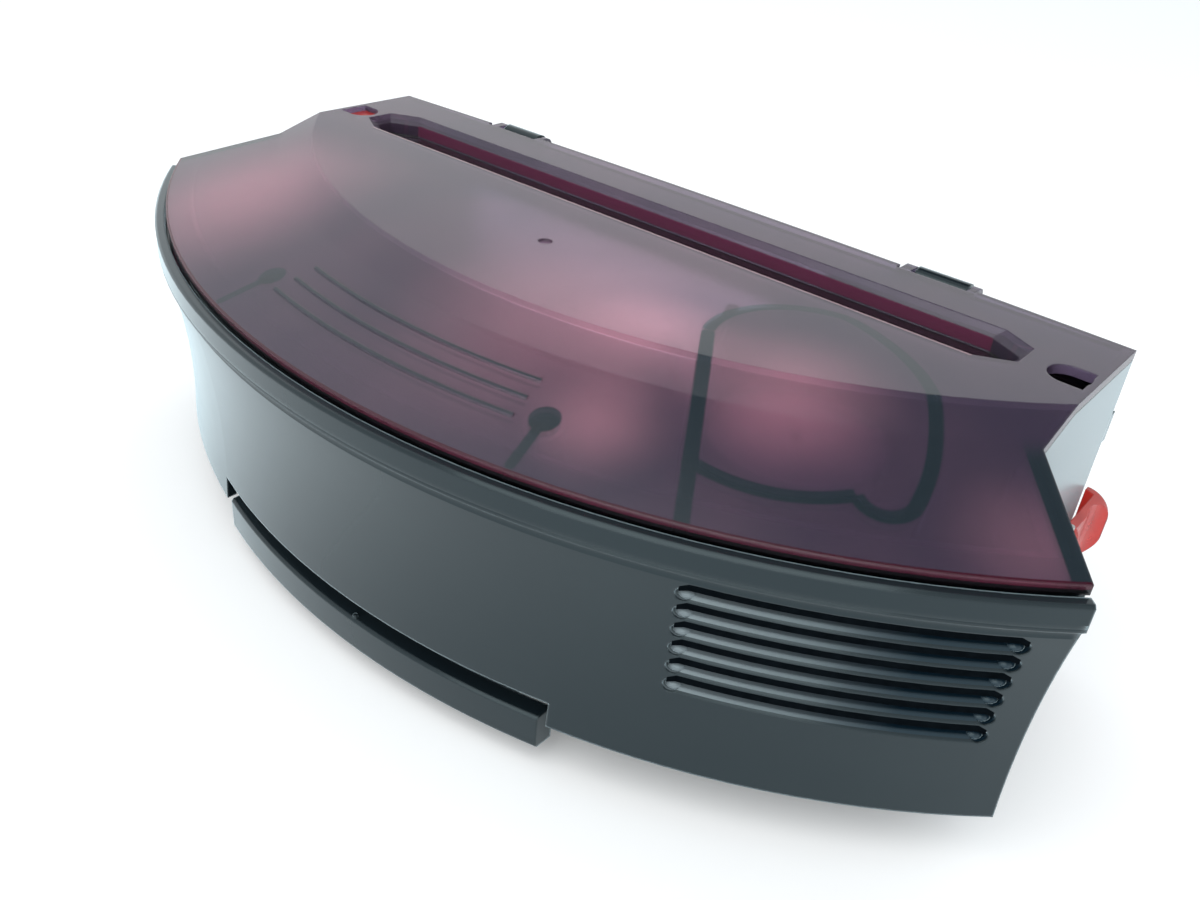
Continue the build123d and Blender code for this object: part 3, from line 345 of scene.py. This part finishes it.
def smokedLidFinish(name, look):
    finish, tree, shader = newFinish(name)
    place = addNode(tree, "ShaderNodeTexCoord")
    flat = vectorOf(tree, "MULTIPLY", place.outputs["Object"], (1.0, 1.0, 0.0)).outputs["Vector"]
    drift = noiseAt(tree, place, look["driftScale"])
    glow = spanOf(tree, drift, "Fac", 0.0, look["drift"]).outputs["Result"]
    # painted light: pink pools added to the lid's colour where light gathers behind it
    for centre, reach, strength in look["lightPools"]:
        apart = vectorOf(tree, "DISTANCE", flat, (*centre, 0.0)).outputs["Value"]
        glow = sumOf(tree, "ADD", glow, sumOf(tree, "MULTIPLY", within(tree, apart, 0.0, reach), strength))
    wallShade = wingShadeMark(tree, flat)
    for mark in wallShadeMarks(tree, flat, look["ribs"]):
        wallShade = sumOf(tree, "MAXIMUM", wallShade, mark)
    body = blendOf(tree, wallShade, blendOf(tree, glow, look["deep"], look["pale"]), look["wallShade"])
    for mask, key in lidTints(tree, place, flat):
        body = blendOf(tree, mask, body, look[key])
    tree.links.new(body, shader.inputs["Base Color"])
    smear = noiseAt(tree, place, look["smearScale"], detail=2.0)
    gloss = spanOf(tree, smear, "Fac", look["smooth"], look["rough"])
    joinNodes(tree, gloss, "Result", shader, "Roughness")
    rounded = addNode(tree, "ShaderNodeBevel", {"Radius": look["edge"]}, samples=4)
    joinNodes(tree, rounded, "Normal", shader, "Normal")
    shader.inputs["Transmission Weight"].default_value = look["clear"]
    shader.inputs["IOR"].default_value = look["ior"]
    # painted reflection colour: a bluish gloss tint stands in for a bluish room
    shader.inputs["Specular Tint"].default_value = (*look["gloss"], 1.0)
    return finish


blackPlasticLook = {
    "dark": (0.002, 0.005, 0.008), "light": (0.004, 0.008, 0.011), "edgeTone": (0.014, 0.019, 0.022),
    "driftScale": 30.0, "smearScale": 90.0, "smooth": 0.13, "rough": 0.17, "grainScale": 2200.0,
    "grainDepth": 0.03, "edge": 0.0006, "ior": 1.50, "gloss": (0.74, 0.94, 1.0), "sheen": 1.0,
}
# inside of the tub: the same plastic under a thin film of grey dust
tubDustLook = {
    "floorTurn": 0.1340, "slope": 0.479, "skin": 0.0012,
    "sideWall": 0.0995, "rearWall": 0.1664, "wingWall": 0.001,
    "thin": (0.16, 0.155, 0.15), "thick": (0.34, 0.33, 0.315), "fluffScale": 70.0,
}


def dustInside(tree, place, body):
    look = tubDustLook
    x, y, z = partsOf(tree, place)
    radius, away = axisReach(tree, x, y)
    rise = sumOf(tree, "MULTIPLY", sumOf(tree, "SUBTRACT", radius, look["floorTurn"]), look["slope"])
    floorTop = sumOf(tree, "ADD", sumOf(tree, "MAXIMUM", rise, 0.0), look["skin"])
    above = sumOf(tree, "GREATER_THAN", z, floorTop)
    inWall = sumOf(tree, "LESS_THAN", radius, look["rearWall"])
    halfWide = sumOf(tree, "ABSOLUTE", x)
    between = sumOf(tree, "LESS_THAN", halfWide, look["sideWall"])
    angle = math.radians(wingBand["angle"])
    across = sumOf(tree, "MULTIPLY", halfWide, math.cos(angle))
    toWing = sumOf(tree, "SUBTRACT", sumOf(tree, "MULTIPLY", away, math.sin(angle)), across)
    behind = sumOf(tree, "GREATER_THAN", toWing, look["wingWall"])
    held = sumOf(tree, "MULTIPLY", inWall, sumOf(tree, "MAXIMUM", between, behind))
    fluff = noiseAt(tree, place, look["fluffScale"], detail=6.0, roughness=0.65)
    film = rampOf(tree, fluff, "Fac", [(0.35, look["thin"]), (0.65, look["thick"])])
    return blendOf(tree, sumOf(tree, "MULTIPLY", above, held), body, film.outputs["Color"])


# rear fascia: hollow curve of the skin, and a painted highlight on the louvre sills, light at their left ends
# and dark towards the right
fasciaCurve = {"middle": (0.31887, 0.02399), "reach": 0.14875}
louvreLook = {
    "count": 6, "pitch": 0.00424, "top": 0.0531, "start": 23.6, "end": 40.6, "nose": 0.6,
    "litEnd": 36.0, "inside": 0.0004, "lit": (0.15, 0.18, 0.195), "dull": (0.004, 0.014, 0.024),
}


def paintedSillLight(tree, place, body):
    look, curve = louvreLook, fasciaCurve
    x, y, z = partsOf(tree, place)
    radius, away = axisReach(tree, x, y)
    rise = sumOf(tree, "SUBTRACT", z, curve["middle"][1])
    hollow = sumOf(tree, "SUBTRACT", curve["reach"] ** 2, sumOf(tree, "MULTIPLY", rise, rise))
    skin = sumOf(tree, "SUBTRACT", curve["middle"][0], sumOf(tree, "SQRT", hollow))
    depth = sumOf(tree, "SUBTRACT", skin, radius)
    turn = sumOf(tree, "ARCTAN2", x, away)
    start, end, nose, litEnd = (math.radians(look[key]) for key in ("start", "end", "nose", "litEnd"))
    span = inBetween(tree, turn, start - nose, end + nose)
    low = look["top"] - look["count"] * look["pitch"]
    zone = sumOf(tree, "MULTIPLY", span, inBetween(tree, z, low, look["top"]))
    sill = sumOf(tree, "MULTIPLY", zone, sumOf(tree, "GREATER_THAN", depth, look["inside"]))
    fade = addNode(tree, "ShaderNodeMapRange", {"From Min": start, "From Max": litEnd})
    tree.links.new(turn, fade.inputs["Value"])
    shine = blendOf(tree, fade.outputs["Result"], look["lit"], look["dull"])
    return blendOf(tree, sill, body, shine)


# the step under the rim band is well rounded, and leans back a little so that it draws no bright line
bandStep = {"low": 0.0546, "high": 0.0584, "round": 0.0022, "leanTop": 0.0576, "lean": -0.40}


def softStep(tree, place, edge):
    near = inBetween(tree, partsOf(tree, place)["Z"], bandStep["low"], bandStep["high"])
    return sumOf(tree, "ADD", edge, sumOf(tree, "MULTIPLY", near, bandStep["round"] - edge))


def leanBack(tree, place):
    height = sumOf(tree, "MAXIMUM", partsOf(tree, place)["Z"], bandStep["low"])
    return sumOf(tree, "MULTIPLY", sumOf(tree, "MINIMUM", height, bandStep["leanTop"]), bandStep["lean"])


greyPlasticLook = {
    "dark": (0.060, 0.064, 0.068), "light": (0.085, 0.090, 0.094), "edgeTone": (0.14, 0.14, 0.15),
    "driftScale": 40.0, "smearScale": 110.0, "smooth": 0.36, "rough": 0.48,
    "grainScale": 2400.0, "grainDepth": 0.2, "edge": 0.0004, "ior": 1.49,
}
palePlasticLook = {
    "dark": (0.56, 0.55, 0.53), "light": (0.66, 0.65, 0.63), "edgeTone": (0.75, 0.75, 0.74),
    "driftScale": 60.0, "smearScale": 120.0, "smooth": 0.32, "rough": 0.45,
    "grainScale": 2000.0, "grainDepth": 0.15, "edge": 0.0003, "ior": 1.49,
}
blackRubberLook = {
    "dark": (0.012, 0.012, 0.013), "light": (0.022, 0.022, 0.023), "edgeTone": (0.05, 0.05, 0.05),
    "driftScale": 80.0, "smearScale": 200.0, "smooth": 0.62, "rough": 0.80,
    "grainScale": 1500.0, "grainDepth": 0.45, "edge": 0.0004, "ior": 1.45,
}
filterPaperLook = {
    "dark": (0.50, 0.47, 0.41), "light": (0.66, 0.63, 0.56), "edgeTone": (0.60, 0.57, 0.50),
    "driftScale": 90.0, "smearScale": 300.0, "smooth": 0.80, "rough": 0.95,
    "grainScale": 3200.0, "grainDepth": 0.7, "edge": 0.0002, "ior": 1.40,
}


# red clip plastic: see-through colour with a soft skin
redClipLook = {
    "dark": (0.62, 0.030, 0.024), "light": (0.78, 0.060, 0.045), "clear": 0.55, "ior": 1.50,
    "driftScale": 160.0, "smearScale": 240.0, "smooth": 0.16, "rough": 0.30, "edge": 0.0004,
}


def redClipFinish(name, look):
    finish, tree, shader = newFinish(name)
    place = addNode(tree, "ShaderNodeTexCoord")
    drift = noiseAt(tree, place, look["driftScale"])
    tint = rampOf(tree, drift, "Fac", [(0.3, look["dark"]), (0.7, look["light"])])
    joinNodes(tree, tint, "Color", shader, "Base Color")
    smear = noiseAt(tree, place, look["smearScale"], detail=4.0)
    gloss = spanOf(tree, smear, "Fac", look["smooth"], look["rough"])
    joinNodes(tree, gloss, "Result", shader, "Roughness")
    rounded = addNode(tree, "ShaderNodeBevel", {"Radius": look["edge"]}, samples=4)
    joinNodes(tree, rounded, "Normal", shader, "Normal")
    shader.inputs["Transmission Weight"].default_value = look["clear"]
    shader.inputs["IOR"].default_value = look["ior"]
    return finish


# drawn or pressed metal with fine lines along one way
metalLines = {"scale": 420.0, "stretch": (1.0, 1.0, 14.0), "depth": 0.1, "height": 0.0001}
steelLook = {"dark": (0.46, 0.46, 0.45), "light": (0.62, 0.62, 0.61), "smooth": 0.22, "rough": 0.38}
springLook = {"dark": (0.40, 0.40, 0.40), "light": (0.56, 0.56, 0.55), "smooth": 0.18, "rough": 0.30}
brassLook = {"dark": (0.60, 0.42, 0.16), "light": (0.76, 0.56, 0.24), "smooth": 0.22, "rough": 0.36}


def metalFinish(name, look):
    finish, tree, shader = newFinish(name)
    place = addNode(tree, "ShaderNodeTexCoord")
    stretch = addNode(tree, "ShaderNodeMapping", {"Scale": metalLines["stretch"]})
    joinNodes(tree, place, "Object", stretch, "Vector")
    lines = addNode(tree, "ShaderNodeTexNoise", {"Scale": metalLines["scale"], "Detail": 4.0})
    joinNodes(tree, stretch, "Vector", lines, "Vector")
    tint = rampOf(tree, lines, "Fac", [(0.3, look["dark"]), (0.7, look["light"])])
    joinNodes(tree, tint, "Color", shader, "Base Color")
    gloss = spanOf(tree, lines, "Fac", look["smooth"], look["rough"])
    joinNodes(tree, gloss, "Result", shader, "Roughness")
    bump = addNode(tree, "ShaderNodeBump", {
        "Strength": metalLines["depth"], "Distance": metalLines["height"],
    })
    joinNodes(tree, lines, "Fac", bump, "Height")
    joinNodes(tree, bump, "Normal", shader, "Normal")
    shader.inputs["Metallic"].default_value = 1.0
    return finish


smokedLid = smokedLidFinish("smokedLid", smokedLidLook)
blackPlastic = mouldedPlastic("blackPlastic", blackPlasticLook)
fasciaPlastic = mouldedPlastic("fasciaPlastic", blackPlasticLook, paintedSillLight, softStep, leanBack)
dustyTub = mouldedPlastic("dustyTub", blackPlasticLook, dustInside)
greyPlastic = mouldedPlastic("greyPlastic", greyPlasticLook)
palePlastic = mouldedPlastic("palePlastic", palePlasticLook)
blackRubber = mouldedPlastic("blackRubber", blackRubberLook)
filterPaper = mouldedPlastic("filterPaper", filterPaperLook)
redClip = redClipFinish("redClip", redClipLook)
motorSteel = metalFinish("motorSteel", steelLook)
springSteel = metalFinish("springSteel", springLook)
brassParts = metalFinish("brassParts", brassLook)
print("finishes ready")

solidFinishes = {
    "top_cover": smokedLid, "hinge_brackets": smokedLid,
    "tub": dustyTub, "rear_fascia": fasciaPlastic, "release_bar": blackPlastic, "front_door": blackPlastic,
    "fan_housing": blackPlastic, "filter_box": blackPlastic,
    "motor_mount": greyPlastic, "motor_cap": greyPlastic,
    "filter_frame": palePlastic, "impeller": palePlastic, "filter_pleats": filterPaper,
    "inlet_seal": blackRubber, "door_gasket": blackRubber, "filter_gasket": blackRubber,
    "door_latch_right": redClip, "door_latch_left": redClip, "filter_tab": redClip,
    "release_springs": springSteel, "latch_spring_right": springSteel, "latch_spring_left": springSteel,
    "hinge_pins": springSteel, "latch_pins": springSteel, "motor_shaft": springSteel,
    "mount_screws": springSteel, "motor_screws": springSteel, "cover_screws": springSteel,
    "motor_can": motorSteel, "motor_bush": brassParts, "motor_terminals": brassParts,
    "contact_plates": brassParts, "lead_strips": brassParts,
}
for nodeName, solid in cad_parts.items():
    finish = solidFinishes[nodeName]
    if not solid.material_slots:
        solid.data.materials.append(finish)
    for slot in solid.material_slots:
        slot.material = finish
print("solids finished")


def meshOf(name, points, faces):
    mesh = bpy.data.meshes.new(name)
    mesh.from_pydata(points, [], faces)
    return mesh


def addPiece(name, mesh, finish, body):
    mesh.materials.append(finish)
    piece = bpy.data.objects.new(name, mesh)
    scene.collection.objects.link(piece)
    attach(piece, body)


# a spot on the fascia's skin, or so far outside it
def skinSpot(turn, z, out):
    (middle, level), bend = fasciaCurve["middle"], fasciaCurve["reach"]
    reach = middle - math.sqrt(bend ** 2 - (z - level) ** 2) + out
    return (reach * math.sin(turn), axisBack - reach * math.cos(turn), z)


# painted shade: a thin black sheet on the skin along the top of each louvre, standing in for the deep shade
# in the slot
slotShadeLook = {
    "rise": 0.00125, "drop": 0.0001, "proud": 0.00003, "steps": 34, "past": 0.28,
    "taper": 0.03, "endRise": 0.25, "endDrop": 0.0006,
    "black": (0.002, 0.003, 0.004), "fleck": 1.6, "fleckScale": 500.0, "rough": 0.95,
}


def slotShadeFinish(look):
    finish, tree, shader = newFinish("slotDark")
    place = addNode(tree, "ShaderNodeTexCoord")
    fleck = noiseAt(tree, place, look["fleckScale"], detail=2.0)
    paler = tuple(look["fleck"] * part for part in look["black"])
    tint = rampOf(tree, fleck, "Fac", [(0.3, look["black"]), (0.7, paler)])
    joinNodes(tree, tint, "Color", shader, "Base Color")
    shader.inputs["Roughness"].default_value = look["rough"]
    shader.inputs["Specular IOR Level"].default_value = 0.0
    return finish


def layShades(look, grille):
    points, faces = [], []
    sweep = grille["end"] - grille["start"] + 2 * look["past"]
    for slot in range(grille["count"]):
        edge = grille["top"] - slot * grille["pitch"]
        first = len(points)
        for step in range(look["steps"] + 1):
            share = step / look["steps"]
            turn = math.radians(grille["start"] - look["past"] + share * sweep)
            full = min(1.0, share / look["taper"], (1 - share) / look["taper"])
            low = edge - look["drop"] - look["endDrop"] * (1 - full)
            high = edge + look["rise"] * (look["endRise"] + (1 - look["endRise"]) * full)
            points += [skinSpot(turn, z, look["proud"]) for z in (low, high)]
        for step in range(look["steps"]):
            corner = first + 2 * step
            faces.append((corner, corner + 2, corner + 3, corner + 1))
    addPiece("slotShades", meshOf("slotShades", points, faces), slotShadeFinish(look), "bin")


layShades(slotShadeLook, louvreLook)

# rounded noses that close the ends of the louvre sills
sillNoseLook = {
    "size": (0.0015, 0.0010, 0.0009), "sink": 0.0014, "drop": 0.0020, "inset": 0.10,
    "around": 16, "along": 10,
}


def addNoses(look, grille):
    shape = bmesh.new()
    for slot in range(grille["count"]):
        z = grille["top"] - slot * grille["pitch"] - look["drop"]
        for angle in (grille["start"] + look["inset"], grille["end"] - look["inset"]):
            turn = math.radians(angle)
            spot = Matrix.Translation(skinSpot(turn, z, -look["sink"]))
            lie = spot @ Matrix.Rotation(turn, 4, "Z") @ Matrix.Diagonal((*look["size"], 1.0))
            bmesh.ops.create_uvsphere(
                shape, u_segments=look["around"], v_segments=look["along"], radius=1.0, matrix=lie,
            )
    mesh = bpy.data.meshes.new("sillNoses")
    shape.to_mesh(mesh)
    shape.free()
    mesh.polygons.foreach_set("use_smooth", [True] * len(mesh.polygons))
    addPiece("sillNoses", mesh, fasciaPlastic, "bin")


addNoses(sillNoseLook, louvreLook)

# red sight block seen in the lid's left opening
sightLook = {"low": (-0.0988, 0.0276, 0.0715), "high": (-0.0938, 0.0352, 0.0738)}


def addSight(look):
    low, high = look["low"], look["high"]
    points = [(x, y, z) for x in (low[0], high[0]) for y in (low[1], high[1]) for z in (low[2], high[2])]
    faces = [(0, 1, 3, 2), (4, 6, 7, 5), (0, 4, 5, 1), (2, 3, 7, 6), (0, 2, 6, 4), (1, 5, 7, 3)]
    addPiece("redSight", meshOf("redSight", points, faces), redClip, "bin")


addSight(sightLook)
print("louvre shades, sill noses and sight block placed")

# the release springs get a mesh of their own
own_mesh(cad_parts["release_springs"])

# plain pale table
floorLook = {
    "size": 6.0, "white": (0.96, 0.965, 0.97), "low": 0.985, "driftScale": 1.5,
    "rough": 0.9, "shine": 0.1, "lift": 0.06,
}


def layFloor(look):
    half = look["size"] / 2
    corners = [(-half, -half, 0), (half, -half, 0), (half, half, 0), (-half, half, 0)]
    mesh = meshOf("table", corners, [(0, 1, 2, 3)])
    table = bpy.data.objects.new("table", mesh)
    scene.collection.objects.link(table)
    finish, tree, shader = newFinish("tableWhite")
    place = addNode(tree, "ShaderNodeTexCoord")
    drift = noiseAt(tree, place, look["driftScale"], detail=2.0)
    low = tuple(look["low"] * part for part in look["white"])
    tint = rampOf(tree, drift, "Fac", [(0.3, low), (0.7, look["white"])])
    joinNodes(tree, tint, "Color", shader, "Base Color")
    shader.inputs["Roughness"].default_value = look["rough"]
    shader.inputs["Specular IOR Level"].default_value = look["shine"]
    shader.inputs["Emission Color"].default_value = (1.0, 1.0, 1.0, 1.0)
    lift = sumOf(tree, "MULTIPLY", seenRays(tree), look["lift"])
    tree.links.new(lift, shader.inputs["Emission Strength"])
    mesh.materials.append(finish)


layFloor(floorLook)

# soft white room, plus soft boxes
roomLook = {"tint": (0.91, 0.965, 1.0), "strength": 0.93, "white": (1.0, 1.0, 1.0)}


def lightRoom(look):
    world = bpy.data.worlds.new("whiteRoom")
    scene.world = world
    world.use_nodes = True
    tree = world.node_tree
    tree.nodes.clear()
    output = addNode(tree, "ShaderNodeOutputWorld")
    glow = addNode(tree, "ShaderNodeBackground", {
        "Color": (*look["tint"], 1.0), "Strength": look["strength"],
    })
    seen = addNode(tree, "ShaderNodeBackground", {"Color": (*look["white"], 1.0), "Strength": 1.0})
    blend = addNode(tree, "ShaderNodeMixShader")
    tree.links.new(seenRays(tree), blend.inputs[0])
    tree.links.new(glow.outputs[0], blend.inputs[1])
    tree.links.new(seen.outputs[0], blend.inputs[2])
    tree.links.new(blend.outputs[0], output.inputs["Surface"])


lightRoom(roomLook)

lampTint = (1.0, 0.975, 0.945)
softBoxes = {
    "frontBox": {"place": (0.15, -0.75, 1.15), "aim": (0.0, 0.0, 0.0), "size": (1.4, 1.0), "power": 8.0},
    "lowBox": {"place": (0.45, -1.10, 0.40), "aim": (0.0, 0.0, 0.0), "size": (1.2, 0.5), "power": 5.0},
}
for boxName, box in softBoxes.items():
    lamp = bpy.data.lights.new(boxName, "AREA")
    lamp.shape = "RECTANGLE"
    lamp.size, lamp.size_y = box["size"]
    lamp.energy = box["power"]
    lamp.color = lampTint
    holder = bpy.data.objects.new(boxName, lamp)
    holder.location = box["place"]
    holder.rotation_euler = (Vector(box["aim"]) - Vector(box["place"])).to_track_quat("-Z", "Y").to_euler()
    scene.collection.objects.link(holder)

# dark card over the back, seen only in reflections such as the lid's slope
cardLook = {
    "middle": (-0.10, 0.85, 1.30), "half": (0.90, 0.50), "dark": (0.03, 0.03, 0.035),
    "fleck": 1.3, "fleckScale": 4.0, "rough": 0.9,
}


def hangCard(look):
    x, y, z = look["middle"]
    wide, deep = look["half"]
    left, right, near, far = x - wide, x + wide, y - deep, y + deep
    corners = [(left, near, z), (left, far, z), (right, far, z), (right, near, z)]
    mesh = meshOf("darkCard", corners, [(0, 1, 2, 3)])
    finish, tree, shader = newFinish("darkCard")
    place = addNode(tree, "ShaderNodeTexCoord")
    fleck = noiseAt(tree, place, look["fleckScale"])
    paler = tuple(look["fleck"] * part for part in look["dark"])
    tint = rampOf(tree, fleck, "Fac", [(0.3, look["dark"]), (0.7, paler)])
    joinNodes(tree, tint, "Color", shader, "Base Color")
    shader.inputs["Roughness"].default_value = look["rough"]
    mesh.materials.append(finish)
    card = bpy.data.objects.new("darkCard", mesh)
    scene.collection.objects.link(card)
    card.visible_camera = card.visible_diffuse = card.visible_shadow = card.visible_transmission = False


hangCard(cardLook)
print("table and lights set")

# camera where the photographer held it
cameraLook = {
    "place": (0.1379, -0.1571, 0.1590), "turn": 37.31, "rise": 31.88, "roll": 5.84,
    "lens": 33.195, "sensor": 36.0, "near": 0.005,
}


def setCamera(look):
    turn, rise, roll = (math.radians(look[key]) for key in ("turn", "rise", "roll"))
    back = Vector((math.sin(turn) * math.cos(rise), -math.cos(turn) * math.cos(rise), math.sin(rise)))
    side = (-back).cross(Vector((0, 0, 1))).normalized()
    top = side.cross(-back)
    right = math.cos(roll) * side + math.sin(roll) * top
    up = -math.sin(roll) * side + math.cos(roll) * top
    lens = bpy.data.cameras.new("photoCamera")
    lens.sensor_width = look["sensor"]
    lens.lens = look["lens"]
    lens.clip_start = look["near"]
    holder = bpy.data.objects.new("photoCamera", lens)
    holder.matrix_world = Matrix((
        (right.x, up.x, back.x, look["place"][0]),
        (right.y, up.y, back.y, look["place"][1]),
        (right.z, up.z, back.z, look["place"][2]),
        (0, 0, 0, 1),
    ))
    scene.collection.objects.link(holder)
    scene.camera = holder


setCamera(cameraLook)

print("scene done")
